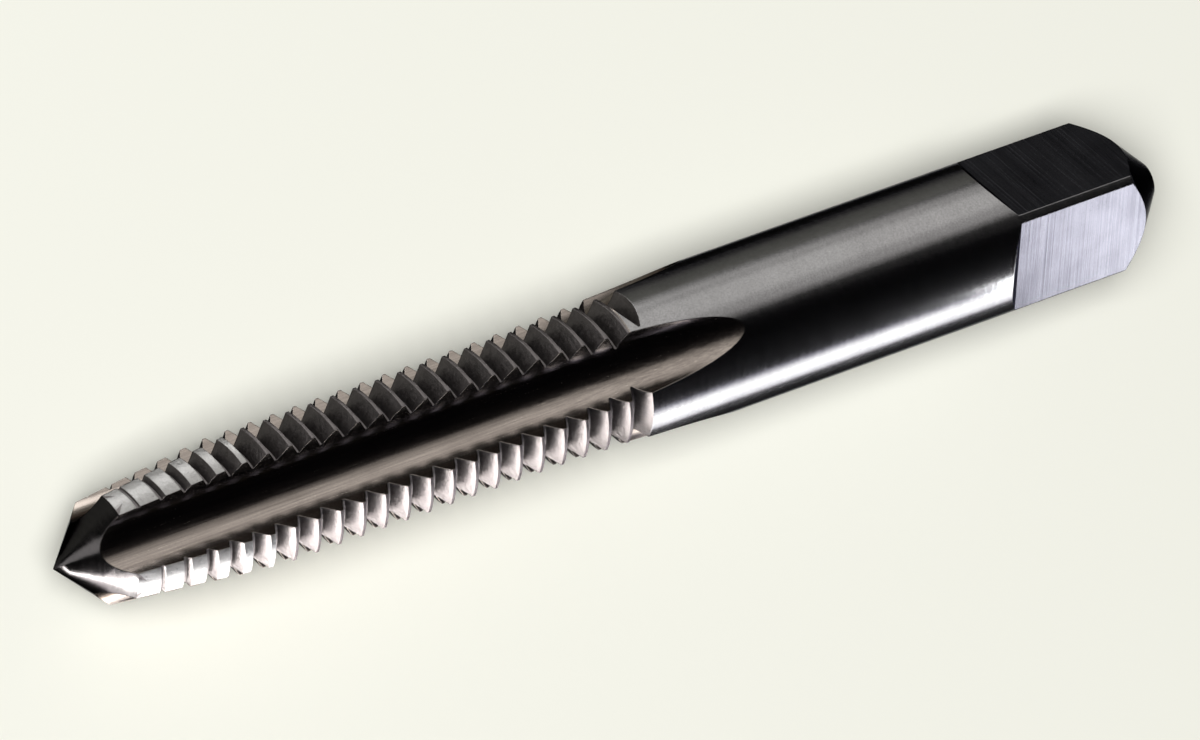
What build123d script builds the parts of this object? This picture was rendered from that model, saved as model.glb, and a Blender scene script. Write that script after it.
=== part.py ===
"""Hand tap for a 3/8 in thread, 16 turns to the inch, right-hand, with four straight flutes.

One piece of hardened tool steel. It is modelled upright on its axis, with the point at height 0,
and laid down at the end: the axis then runs along X, the point faces -X and a flute faces up.
Turns are in degrees round the axis, counted from the middle of one flute.
"""
from build123d import *
import os
from math import acos, ceil, cos, degrees, floor, radians, sin, tan

os.makedirs("parts", exist_ok=True)

# Whole tool
overall_length = 78.9
shank_diameter = 9.67

# Point: the outside centre that the blank was turned on
point_angle = 90.0
point_diameter = 7.3

# Thread
thread_diameter = 9.58
pitch = 25.4 / 16
thread_angle = 60.0
crest_flat = pitch / 8
root_flat = pitch / 12
lead_taper_length = 9.5         # the first six teeth or so are ground down to a taper
back_taper_angle = 0.03         # from there the crests draw in a little, so that they don't bind
thread_end = 39.9               # height at which the groove has faded out
thread_end_turn = 156.0         # and its place round the axis there
thread_fade_turn = 32.0         # how far round the axis the fading takes

# Flutes
flute_count = 4
core_diameter = 4.34            # what the flutes leave in the middle, at the point
core_taper_angle = 0.7          # the core thickens towards the shank
flute_floor_radius = 2.15
flute_wall_angle = 30.0         # lean of each wall from the middle of its flute
flute_straight_length = 31.0    # height at which the grinding wheel starts to lift out
flute_wheel_radius = 58.0

# Driving square
square_across_flats = 7.2
square_length = 11.95
square_shoulder_angle = 45.0
square_turn = 39.5              # from the middle of a flute to the middle of a flat
end_chamfer_angle = 45.0
end_face_diameter = 2.5

overrun = 0.1                   # how far a cutter passes the surface that it leaves
groove_break_turn = 10.0        # each cut of the groove stops this far from the next, in a flute

# Worked out from the sizes above
flute_spacing = 360 / flute_count
shank_radius = shank_diameter / 2
thread_radius = thread_diameter / 2
flank_slope = tan(radians(thread_angle / 2))
thread_depth = (pitch - crest_flat - root_flat) / 2 / flank_slope
root_radius = thread_radius - thread_depth
rim_radius = max(shank_radius, thread_radius) + overrun
point_length = point_diameter / 2 / tan(radians(point_angle / 2))
lead_taper_end = point_length + lead_taper_length
shank_start = thread_end - pitch / 2
last_crest_radius = thread_radius - (shank_start - lead_taper_end) * tan(radians(back_taper_angle))
end_chamfer_length = (shank_diameter - end_face_diameter) / 2 / tan(radians(end_chamfer_angle))
square_start = overall_length - square_length


def blank():
    """The tool as turned: point, lead taper, thread blank, shank and chamfered end."""
    with BuildSketch(Plane.XZ) as half_section:
        with BuildLine():
            Polyline(
                (0, 0),
                (point_diameter / 2, point_length),
                (thread_radius, lead_taper_end),
                (last_crest_radius, shank_start),
                (shank_radius, shank_start + abs(shank_radius - last_crest_radius)),
                (shank_radius, overall_length - end_chamfer_length),
                (end_face_diameter / 2, overall_length),
                (0, overall_length),
                close=True,
            )
        make_face()
    return revolve(half_section.sketch, axis=Axis.Z)


def groove_section(turn, height, lift=0.0):
    """The thread groove's outline in a plane through the axis, moved outwards by lift."""
    rim_half_width = root_flat / 2 + (rim_radius - root_radius) * flank_slope
    with BuildSketch(Plane.XZ) as section:
        with BuildLine():
            Polyline(
                (root_radius + lift, -root_flat / 2),
                (rim_radius + lift, -rim_half_width),
                (rim_radius + lift, rim_half_width),
                (root_radius + lift, root_flat / 2),
                close=True,
            )
        make_face()
    return Pos(0, 0, height) * Rot(0, 0, turn) * section.sketch.face()


def groove_height(turn):
    """Height of the groove's middle. The groove winds on, so turns below 0 are nearer the point."""
    return thread_end - pitch * (thread_end_turn - turn) / 360


def groove_stretch(start_turn, end_turn):
    """The groove at full depth between two turns."""
    rise = pitch * (end_turn - start_turn) / 360
    helix = Helix(pitch=pitch, height=rise, radius=root_radius)
    stretch = sweep(groove_section(0, 0), path=helix, is_frenet=True)
    return Pos(0, 0, groove_height(start_turn)) * Rot(0, 0, start_turn) * stretch


def groove_fade(start_turn):
    """The last of the groove, where the wheel moves outwards until it leaves the steel."""
    sections = []
    for share in (0, 0.25, 0.5, 0.75, 1):
        turn = start_turn + share * (thread_end_turn - start_turn)
        lift = (rim_radius - root_radius) * share**2
        sections.append(groove_section(turn, groove_height(turn), lift))
    return loft(sections)


def tooth_gaps():
    """The groove where it crosses the lands, from the last land that it reaches to the first.

    Between two lands it would run in the open flute, so each crossing is a cut of its own.
    """
    crossing = flute_spacing - groove_break_turn
    last_land = flute_spacing * (floor(thread_end_turn / flute_spacing) + 0.5)
    fade_start = thread_end_turn - thread_fade_turn
    gaps = [groove_stretch(last_land - crossing / 2, fade_start), groove_fade(fade_start)]

    first_height = groove_height(last_land - flute_spacing)
    land_rise = pitch / flute_count
    gap = groove_stretch(-crossing / 2, crossing / 2)
    for land in range(ceil((first_height - point_length) / land_rise)):
        back = land * flute_spacing + flute_spacing - last_land
        gaps.append(Pos(0, 0, -back * pitch / 360) * Rot(0, 0, -back) * gap)
    return gaps


def flute():
    """One flute: a straight cut along the tapered core, then the arc of the wheel lifting out."""
    taper = radians(core_taper_angle)
    floor_radius = core_diameter / 2 + flute_straight_length * tan(taper)
    section_height = rim_radius - core_diameter / 2
    lean = radians(flute_wall_angle)
    floor_edge = flute_floor_radius * cos(lean)
    floor_edge_height = flute_floor_radius * (1 - sin(lean))
    rim_edge = floor_edge + (section_height - floor_edge_height) * tan(lean)
    outwards = Plane(
        origin=(floor_radius, 0, flute_straight_length),
        x_dir=(0, -1, 0),
        z_dir=(sin(taper), 0, cos(taper)),
    )
    with BuildSketch(outwards) as section:
        with BuildLine():
            ThreePointArc((-floor_edge, floor_edge_height), (0, 0), (floor_edge, floor_edge_height))
            Polyline(
                (floor_edge, floor_edge_height),
                (rim_edge, section_height),
                (-rim_edge, section_height),
                (-floor_edge, floor_edge_height),
            )
        make_face()
    straight = extrude(section.sketch, amount=-(flute_straight_length + overrun) / cos(taper))
    wheel_axis = Axis(outwards.from_local_coords((0, flute_wheel_radius, 0)), (0, 1, 0))
    lift_angle = degrees(acos(1 - (rim_radius - floor_radius) / flute_wheel_radius))
    shares = (0, 0.25, 0.5, 0.75, 1)
    lift_out = loft([section.sketch.rotate(wheel_axis, share * lift_angle) for share in shares])
    return straight + lift_out


def flat():
    """What is ground away beside one flat of the driving square, with its sloping shoulder."""
    inside = square_across_flats / 2
    shoulder_length = (rim_radius - inside) / tan(radians(square_shoulder_angle))
    with BuildSketch(Plane.XZ) as profile:
        with BuildLine():
            Polyline(
                (inside, square_start),
                (rim_radius, square_start - shoulder_length),
                (rim_radius, overall_length + overrun),
                (inside, overall_length + overrun),
                close=True,
            )
        make_face()
    return extrude(profile.sketch, amount=rim_radius, both=True)


def tap():
    """The blank with its flutes, teeth and square, laid on its shank."""
    body = blank()
    for count in range(flute_count):
        body -= Rot(0, 0, count * flute_spacing) * flute()
    body -= tooth_gaps()
    body -= [Rot(0, 0, square_turn + turn) * flat() for turn in range(0, 360, 90)]
    return Pos(-overall_length / 2, 0, shank_radius) * Rot(0, 90, 0) * body


export_step(tap(), "parts/tap.step")
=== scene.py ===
import math

import bpy
from mathutils import Matrix, Vector


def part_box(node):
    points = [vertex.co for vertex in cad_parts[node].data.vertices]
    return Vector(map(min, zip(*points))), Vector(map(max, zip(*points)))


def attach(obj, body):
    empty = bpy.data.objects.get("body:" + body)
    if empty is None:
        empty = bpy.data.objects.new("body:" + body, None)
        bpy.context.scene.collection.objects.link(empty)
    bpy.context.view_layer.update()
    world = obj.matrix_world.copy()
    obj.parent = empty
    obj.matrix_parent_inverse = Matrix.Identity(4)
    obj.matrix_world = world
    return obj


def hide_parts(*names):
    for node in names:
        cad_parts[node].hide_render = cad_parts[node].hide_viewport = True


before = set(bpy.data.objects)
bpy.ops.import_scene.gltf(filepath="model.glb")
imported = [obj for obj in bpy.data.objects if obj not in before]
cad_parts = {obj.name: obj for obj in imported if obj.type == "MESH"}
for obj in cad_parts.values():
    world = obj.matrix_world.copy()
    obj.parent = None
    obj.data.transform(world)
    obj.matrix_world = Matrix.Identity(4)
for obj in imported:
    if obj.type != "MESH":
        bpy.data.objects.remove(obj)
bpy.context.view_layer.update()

# ---------------------------------------------------------------- sizes, in metres
MM = 0.001
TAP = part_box("tap")
AXIS_HEIGHT = (TAP[0].z + TAP[1].z) / 2
POINT_X = TAP[0].x
SHANK_RADIUS = (TAP[1].z - TAP[0].z) / 2

# where the ground surfaces end, along the tool
POINT_END_X = POINT_X + 3.66 * MM
LEAD_END_X = POINT_X + 13.2 * MM
THREAD_END_X = POINT_X + 39.1 * MM
LAST_CREST_X = THREAD_END_X + 1.0 * MM
END_CHAMFER_X = POINT_X + 75.3 * MM

# how far they lie from the axis
LEAD_RADIUS = 3.2 * MM                  # the lead's lands lie outside this, the flutes' floors inside
CREST_RADIUS = 3.55 * MM
SHANK_TOLERANCE = 0.08 * MM             # the facets of a round face lie a little inside it
FLAT_DISTANCE = 3.6 * MM
FLAT_TOLERANCE = 0.05 * MM
FLAT_TURNS = (39.5, 129.5, 219.5, 309.5)    # degrees round the axis, from straight down

# how they face: each is the least share of a face's normal that points the way named
FLAT_FACING = 0.99                      # out from the flat
SHOULDER_FACING = 0.6                   # out from the flat, and towards the square's end
ROUND_FACING = 0.98                     # out from the axis, on the shank
CREST_FACING = 0.97                     # out from the axis, on a crest
CONE_FACING = 0.5                       # out from the axis, on the point's cone
CONE_LEAN = 0.6                         # towards the point, on the cone
LEAD_LEAN = 0.08                        # towards the point, on the lead's lands
FLANK_LEAN = 0.866                      # along the axis, on a 60 degree thread's flank
FLANK_TOLERANCE = 0.06

# ---------------------------------------------------------------- finish
# how much the steel still mirrors where it turns away from the eye; this dark tint is painted shade
# that darkens the steel towards its outline
EDGE_PAINTED_SHADE_TINT = (0.10, 0.10, 0.12, 1)
EDGE_RADIUS = 0.08 * MM
EDGE_SAMPLES = 6
CLOUD_SCALE = 0.35
CLOUD_SHARE = 0.2
FINE_ROUGHNESS = 0.02
NOISE_LOW, NOISE_HIGH = 0.3, 0.7        # where nearly all of a noise texture's values lie

FLOOR_COLOUR = (0.86, 0.86, 0.775, 1)
FLOOR_ROUGHNESS = 0.9
FLOOR_HALF_WIDTH = 3.0

# ---------------------------------------------------------------- light and view
COOL_WHITE = (0.98, 0.98, 1.0)
BLUE_WHITE = (0.80, 0.80, 1.0)
WARM_WHITE = (1.0, 0.985, 0.965)
CARD_WHITE = (1.0, 0.97, 0.95)
SQUARE_WHITE = (0.97, 0.97, 1.0)
POINT_WHITE = (1.0, 0.98, 0.97)
STUDIO_DARK = (0.006, 0.006, 0.009, 1)
CARD_HEIGHT = 0.5 * MM                  # of the lamps that lie on the floor

CAMERA_ROLL = math.radians(19.619)
CAMERA_TILT = math.radians(28.50)       # from straight above, towards the point
CAMERA_SIDE = math.radians(2.3)
VIEW_UNIT = 9.6774 * MM                 # the camera's place is given in this, from the tool's point
VIEW_BACK, VIEW_RIGHT, VIEW_UP = 81.39, 3.3098, 1.2051
PHOTO_WIDTH = 1200                      # pixels
FOCAL_LENGTH = 13454                    # pixels of the photograph
SENSOR_WIDTH = 36                       # millimetres


# ---------------------------------------------------------------- material building
def new_material(name):
    material = bpy.data.materials.new(name)
    material.use_nodes = True
    nodes = material.node_tree.nodes
    nodes.clear()
    return material, nodes, material.node_tree.links


def math_node(nodes, links, operation, first, second):
    """A sum on two values, each a number or another node's output."""
    node = nodes.new("ShaderNodeMath")
    node.operation = operation
    for socket, value in zip(node.inputs, (first, second)):
        if isinstance(value, (int, float)):
            socket.default_value = value
        else:
            links.new(value, socket)
    return node.outputs[0]


def tool_coordinates(nodes, links):
    """Millimetres along the axis, round the surface, to the side and up from the axis."""
    place = nodes.new("ShaderNodeTexCoord").outputs["Object"]
    split = nodes.new("ShaderNodeSeparateXYZ")
    links.new(place, split.inputs[0])
    along = math_node(nodes, links, "MULTIPLY", split.outputs["X"], 1 / MM)
    side = math_node(nodes, links, "MULTIPLY", split.outputs["Y"], 1 / MM)
    lifted = math_node(nodes, links, "SUBTRACT", split.outputs["Z"], AXIS_HEIGHT)
    up = math_node(nodes, links, "MULTIPLY", lifted, 1 / MM)
    turn = math_node(nodes, links, "ARCTAN2", side, up)
    arc = math_node(nodes, links, "MULTIPLY", turn, SHANK_RADIUS / MM)
    return along, arc, side, up


def streaks(nodes, links, parts, scales, detail, roughness=0.6):
    """Noise stretched along the direction in which its scale is small."""
    joined = nodes.new("ShaderNodeCombineXYZ")
    for socket, part, scale in zip(joined.inputs, parts, scales):
        links.new(math_node(nodes, links, "MULTIPLY", part, scale), socket)
    noise = nodes.new("ShaderNodeTexNoise")
    noise.inputs["Scale"].default_value = 1.0
    noise.inputs["Detail"].default_value = detail
    noise.inputs["Roughness"].default_value = roughness
    links.new(joined.outputs[0], noise.inputs["Vector"])
    return noise.outputs["Fac"]


def spread(nodes, links, value, low, high):
    """A noise's values moved to run from low to high."""
    node = nodes.new("ShaderNodeMapRange")
    node.inputs["From Min"].default_value = NOISE_LOW
    node.inputs["From Max"].default_value = NOISE_HIGH
    node.inputs["To Min"].default_value = low
    node.inputs["To Max"].default_value = high
    links.new(value, node.inputs["Value"])
    return node.outputs[0]


def tint(nodes, links, value, dark, light):
    """A colour between dark, at 0, and light, at 1."""
    node = nodes.new("ShaderNodeMix")
    node.data_type = "RGBA"
    factor, start, end = node.inputs[0], node.inputs[6], node.inputs[7]
    start.default_value = (*dark, 1)
    end.default_value = (*light, 1)
    links.new(value, factor)
    return node.outputs[2]


def steel(name, scales, dark, light, rough, bump, grain, depth=0.01, use_arc=True,
          grain_share=0.2, grain_height=0.6):
    """Hardened steel whose grinding marks run the way its smallest scale points. The levels of its
    dark and light colours are painted shade, far darker than bare steel; the noise between them is
    grain.

    The scales and the grain are per millimetre, and the depth of the marks is in millimetres.
    """
    material, nodes, links = new_material(name)
    along, arc, side, up = tool_coordinates(nodes, links)
    solid = (along, side, up)
    parts = (along, arc, up) if use_arc else solid
    coarse = streaks(nodes, links, parts, scales, detail=5.0, roughness=0.65)
    fine = streaks(nodes, links, solid, (grain, grain, grain), detail=3.0)
    cloud = streaks(nodes, links, solid, (CLOUD_SCALE, CLOUD_SCALE, CLOUD_SCALE), detail=2.0)

    shader = nodes.new("ShaderNodeBsdfPrincipled")
    shader.inputs["Metallic"].default_value = 1.0
    # painted shade: a dark edge tint, so that the steel darkens towards its outline
    shader.inputs["Specular Tint"].default_value = EDGE_PAINTED_SHADE_TINT
    coarse_share = 1 - CLOUD_SHARE - grain_share
    colour_value = math_node(nodes, links, "ADD",
                             spread(nodes, links, coarse, 0.0, coarse_share),
                             spread(nodes, links, cloud, 0.0, CLOUD_SHARE))
    colour_value = math_node(nodes, links, "ADD", colour_value,
                             spread(nodes, links, fine, 0.0, grain_share))
    links.new(tint(nodes, links, colour_value, dark, light), shader.inputs["Base Color"])
    rough_value = math_node(nodes, links, "ADD", spread(nodes, links, coarse, *rough),
                            spread(nodes, links, fine, -FINE_ROUGHNESS, FINE_ROUGHNESS))
    links.new(rough_value, shader.inputs["Roughness"])

    height = math_node(nodes, links, "ADD", coarse,
                       math_node(nodes, links, "MULTIPLY", fine, grain_height))
    bumped = nodes.new("ShaderNodeBump")
    bumped.inputs["Strength"].default_value = bump
    bumped.inputs["Distance"].default_value = depth * MM
    links.new(height, bumped.inputs["Height"])
    eased = nodes.new("ShaderNodeBevel")
    eased.samples = EDGE_SAMPLES
    eased.inputs["Radius"].default_value = EDGE_RADIUS
    links.new(eased.outputs[0], bumped.inputs["Normal"])
    links.new(bumped.outputs[0], shader.inputs["Normal"])

    output = nodes.new("ShaderNodeOutputMaterial")
    links.new(shader.outputs[0], output.inputs["Surface"])
    return material


SHANK, FLUTE, TEETH, SQUARE, ENDS, LEAD = range(6)


def tap_materials():
    """The six finishes, in the order of the names above.

    Their colours are fitted to the photograph under this scene's lamps. They are much darker than
    bare steel, because the tool in the photograph mirrors dark surroundings and this floor is pale:
    painted shade. The differences between them are painted light and shade as well: the square and
    the ends are darkest, so that the top flat and the point's cone come out black, and the lead is
    lighter than the teeth, so that its crests come out light.
    """
    # every steel's dark and light colours below are painted shade, far darker than bare steel
    return [
        steel("ground_shank_painted_shade", scales=(4.0, 0.8, 0.8), grain=10.0, grain_share=0.6,
              dark=(0.063, 0.062, 0.062), light=(0.110, 0.109, 0.109),
              rough=(0.17, 0.21), bump=0.35),
        steel("ground_flute_painted_shade", scales=(0.16, 9.0, 9.0), use_arc=False, grain=10.0, grain_height=0.03,
              dark=(0.052, 0.045, 0.040), light=(0.122, 0.107, 0.095),
              rough=(0.19, 0.27), bump=0.35),
        # painted shade: the teeth are darker than the lead, so that the far land's teeth come out
        # dark
        steel("ground_teeth_painted_shade", scales=(5.0, 3.0, 3.0), grain=7.0,
              dark=(0.036, 0.033, 0.033), light=(0.066, 0.061, 0.060),
              rough=(0.32, 0.44), bump=1.2, depth=0.022),
        # painted shade: the square is the darkest steel, so that its top flat comes out black
        steel("brushed_square_painted_shade", scales=(7.0, 0.05, 0.05), use_arc=False, grain=10.0,
              dark=(0.012, 0.012, 0.013), light=(0.034, 0.034, 0.037),
              rough=(0.18, 0.30), bump=1.2),
        # painted shade: the ends are nearly black, so that the point's cone comes out dark
        steel("turned_ends_painted_shade", scales=(8.0, 0.5, 0.5), grain=10.0,
              dark=(0.012, 0.0115, 0.0115), light=(0.020, 0.019, 0.019),
              rough=(0.16, 0.22), bump=0.5),
        # painted light and shade: lighter than the teeth, so that the lead's crests come out light,
        # yet far darker than bare steel
        steel("ground_lead_painted_light_and_shade", scales=(5.0, 3.0, 3.0), grain=7.0,
              dark=(0.074, 0.073, 0.071), light=(0.112, 0.110, 0.107),
              rough=(0.27, 0.36), bump=1.0, depth=0.02),
    ]


# ---------------------------------------------------------------- the tap
def square_kind(x, y, z, normal):
    """Which surface of the driving square a face belongs to, or None."""
    for turn in FLAT_TURNS:
        out = Vector((0, math.sin(math.radians(turn)), -math.cos(math.radians(turn))))
        distance = out.y * y + out.z * z
        facing = normal.dot(out)
        if facing > FLAT_FACING and abs(distance - FLAT_DISTANCE) < FLAT_TOLERANCE:
            return SQUARE
        beyond_flat = x < END_CHAMFER_X and distance > FLAT_DISTANCE
        if facing > SHOULDER_FACING and normal.x > SHOULDER_FACING and beyond_flat:
            return ENDS
    if x > END_CHAMFER_X and normal.x > SHOULDER_FACING:
        return ENDS
    return None


def surface_kind(centre, normal):
    """Which ground surface of the tool a face belongs to."""
    x, y, z = centre.x, centre.y, centre.z - AXIS_HEIGHT
    radius = math.hypot(y, z)
    outward = (normal.y * y + normal.z * z) / max(radius, 1e-9)
    if x > THREAD_END_X:
        kind = square_kind(x, y, z, normal)
        if kind is not None:
            return kind
        if outward > ROUND_FACING and radius > SHANK_RADIUS - SHANK_TOLERANCE:
            return SHANK
    if x < POINT_END_X and normal.x < -CONE_LEAN and outward > CONE_FACING:
        return ENDS
    land = outward > CREST_FACING
    if land and radius > LEAD_RADIUS and x < LEAD_END_X and normal.x < -LEAD_LEAN:
        return LEAD
    crest = land and radius > CREST_RADIUS and x < LAST_CREST_X
    if abs(abs(normal.x) - FLANK_LEAN) < FLANK_TOLERANCE or crest:
        return TEETH
    return FLUTE


def make_tap():
    """The CAD mesh's copy, with a finish for each of its faces."""
    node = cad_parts["tap"]
    mesh = node.data.copy()
    mesh.name = "tap_steel"
    piece = bpy.data.objects.new("tap_steel", mesh)
    bpy.context.scene.collection.objects.link(piece)
    mesh.materials.clear()
    for material in tap_materials():
        mesh.materials.append(material)
    for face in mesh.polygons:
        face.material_index = surface_kind(face.center, face.normal)
    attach(piece, "root")
    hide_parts("tap")
    lit = bpy.data.collections.new("lit_by_boxes")
    lit.objects.link(piece)


# ---------------------------------------------------------------- floor
def make_floor():
    material, nodes, links = new_material("pale_floor")
    shader = nodes.new("ShaderNodeBsdfPrincipled")
    shader.inputs["Base Color"].default_value = FLOOR_COLOUR
    shader.inputs["Roughness"].default_value = FLOOR_ROUGHNESS
    shader.inputs["Specular IOR Level"].default_value = 0.0
    output = nodes.new("ShaderNodeOutputMaterial")
    links.new(shader.outputs[0], output.inputs["Surface"])
    mesh = bpy.data.meshes.new("floor")
    half = FLOOR_HALF_WIDTH
    corners = [(-half, -half, 0), (half, -half, 0), (half, half, 0), (-half, half, 0)]
    mesh.from_pydata(corners, [], [(0, 1, 2, 3)])
    mesh.materials.append(material)
    floor = bpy.data.objects.new("floor", mesh)
    bpy.context.scene.collection.objects.link(floor)


# ---------------------------------------------------------------- light
def area_light(name, centre, target, width, height, strength, colour=(1, 1, 1), glossy=True):
    """A rectangular lamp. Its strength is the brightness of its face, where 1 is white."""
    lamp = bpy.data.lights.new(name, "AREA")
    lamp.shape = "RECTANGLE"
    lamp.size = width
    lamp.size_y = height
    lamp.energy = strength * math.pi * width * height
    lamp.color = colour
    holder = bpy.data.objects.new(name, lamp)
    holder.location = centre
    holder.rotation_euler = (Vector(target) - Vector(centre)).to_track_quat("-Z", "Y").to_euler()
    holder.visible_glossy = glossy
    holder.visible_camera = False
    bpy.context.scene.collection.objects.link(holder)
    return holder


def tap_light(name, centre, target, width, height, strength, colour=(1, 1, 1)):
    """A lamp that lights the tap alone, so that the floor stays even."""
    holder = area_light(name, centre, target, width, height, strength, colour)
    holder.light_linking.receiver_collection = bpy.data.collections["lit_by_boxes"]


def on_cone(turn, distance):
    """A point, seen from the axis, that the shank reflects to the camera.

    It does so where its surface faces half that turn, in degrees, from straight up.
    """
    turn = math.radians(turn)
    flat = math.cos(CAMERA_TILT)
    return Vector((math.sin(CAMERA_TILT), flat * math.sin(turn), flat * math.cos(turn))) * distance


def soft_box(name, turn, spread_turn, distance, length, strength, colour):
    """A long lamp beside the tool, seen in the shank between two turns."""
    half_turn = math.radians(spread_turn / 2)
    height = 2 * distance * math.cos(CAMERA_TILT) * math.tan(half_turn)
    centre = on_cone(turn, distance)
    inward = Vector((centre.x, 0, AXIS_HEIGHT))
    tap_light(name, centre + Vector((0, 0, AXIS_HEIGHT)), inward, length, height, strength, colour)


def floor_card(name, left, right, near, far, strength, colour):
    """A lamp lying on the floor beside the tap, seen in the steel that faces down that way.

    Its edges are in millimetres, along the tool and out from its axis towards the camera's side.
    """
    centre = Vector(((left + right) / 2, -(near + far) / 2, CARD_HEIGHT / MM)) * MM
    above = centre + Vector((0, 0, 1))
    tap_light(name, centre, above, (right - left) * MM, (far - near) * MM, strength, colour)


def make_shank_lights():
    """The bright line low on the shank, and the grey band high on it."""
    soft_box("front_box", turn=-87.0, spread_turn=6.0, distance=0.5, length=1.5,
             strength=13.0, colour=COOL_WHITE)
    soft_box("front_edge", turn=-81.0, spread_turn=6.0, distance=0.5, length=1.5,
             strength=3.6, colour=BLUE_WHITE)
    soft_box("far_panel", turn=51.0, spread_turn=72.0, distance=0.5, length=1.5,
             strength=1.1, colour=WARM_WHITE)
    soft_box("far_panel_inner", turn=51.0, spread_turn=58.0, distance=0.49, length=1.5,
             strength=1.5, colour=WARM_WHITE)
    soft_box("far_panel_middle", turn=52.0, spread_turn=30.0, distance=0.48, length=1.5,
             strength=1.3, colour=WARM_WHITE)


def make_near_lights():
    """Small lamps, each for one surface of the tool that the long ones miss."""
    tap_light("square_box", centre=(0.0505, -0.0282, 0.0128), target=(0.0315, -0.0023, 0.0076),
              width=0.016, height=0.013, strength=42.0, colour=SQUARE_WHITE)
    tap_light("point_box", centre=(-0.40, 0.13, 0.20), target=(-0.02, 0, AXIS_HEIGHT),
              width=0.2, height=0.2, strength=8.0, colour=POINT_WHITE)
    lead = (-0.032, 0, AXIS_HEIGHT)
    tap_light("lead_back", centre=(-0.018, 0.060, 0.011), target=lead,
              width=0.026, height=0.020, strength=11.5)
    tap_light("lead_front", centre=(-0.021, -0.060, 0.007), target=lead,
              width=0.022, height=0.014, strength=19.0)
    teeth_back = on_cone(turn=82.0, distance=0.5) + Vector((-0.02, 0, AXIS_HEIGHT))
    tap_light("teeth_back", centre=teeth_back, target=(0.2, 0, AXIS_HEIGHT),
              width=0.045, height=0.12, strength=3.0, colour=WARM_WHITE)


def make_floor_cards():
    """The photograph's brightest steel mirrors directions below the horizon."""
    floor_card("shank_card", left=-8, right=260, near=18, far=420,
               strength=19.0, colour=COOL_WHITE)
    floor_card("teeth_card", left=-140, right=-12, near=10, far=60,
               strength=38.0, colour=CARD_WHITE)
    floor_card("point_card", left=-150, right=-52, near=21, far=110,
               strength=130.0, colour=CARD_WHITE)


def make_lights():
    area_light("top_light", centre=(-0.86, 0.0, 1.58), target=(0, 0, AXIS_HEIGHT),
               width=1.2, height=1.2, strength=9.5, glossy=False)
    make_shank_lights()
    make_near_lights()
    make_floor_cards()

    world = bpy.data.worlds.new("studio")
    bpy.context.scene.world = world
    world.use_nodes = True
    background = world.node_tree.nodes["Background"]
    background.inputs["Color"].default_value = STUDIO_DARK
    background.inputs["Strength"].default_value = 1.0


# ---------------------------------------------------------------- camera
def make_camera():
    """The photograph's own view: 61 degrees up, from the point's end, rolled 20 degrees."""
    along = Vector((1, 0, 0))
    across = Vector((0, math.cos(CAMERA_SIDE), -math.sin(CAMERA_SIDE)))
    above = Vector((0, math.sin(CAMERA_SIDE), math.cos(CAMERA_SIDE)))
    right = (along * math.cos(CAMERA_TILT) * math.cos(CAMERA_ROLL) - across * math.sin(CAMERA_ROLL)
             + above * math.sin(CAMERA_TILT) * math.cos(CAMERA_ROLL))
    up = (along * math.cos(CAMERA_TILT) * math.sin(CAMERA_ROLL) + across * math.cos(CAMERA_ROLL)
          + above * math.sin(CAMERA_TILT) * math.sin(CAMERA_ROLL))
    back = right.cross(up)
    apex = Vector((POINT_X, 0, AXIS_HEIGHT))
    place = apex + (back * VIEW_BACK + right * VIEW_RIGHT + up * VIEW_UP) * VIEW_UNIT
    data = bpy.data.cameras.new("camera")
    data.sensor_width = SENSOR_WIDTH
    data.lens = FOCAL_LENGTH * SENSOR_WIDTH / PHOTO_WIDTH
    data.clip_start = 0.01
    data.clip_end = 20
    camera = bpy.data.objects.new("camera", data)
    turn = Matrix((right, up, back)).transposed().to_4x4()
    camera.matrix_world = Matrix.Translation(place) @ turn
    bpy.context.scene.collection.objects.link(camera)
    bpy.context.scene.camera = camera


make_tap()
make_floor()
make_lights()
make_camera()
bpy.context.scene.view_settings.view_transform = "Standard"
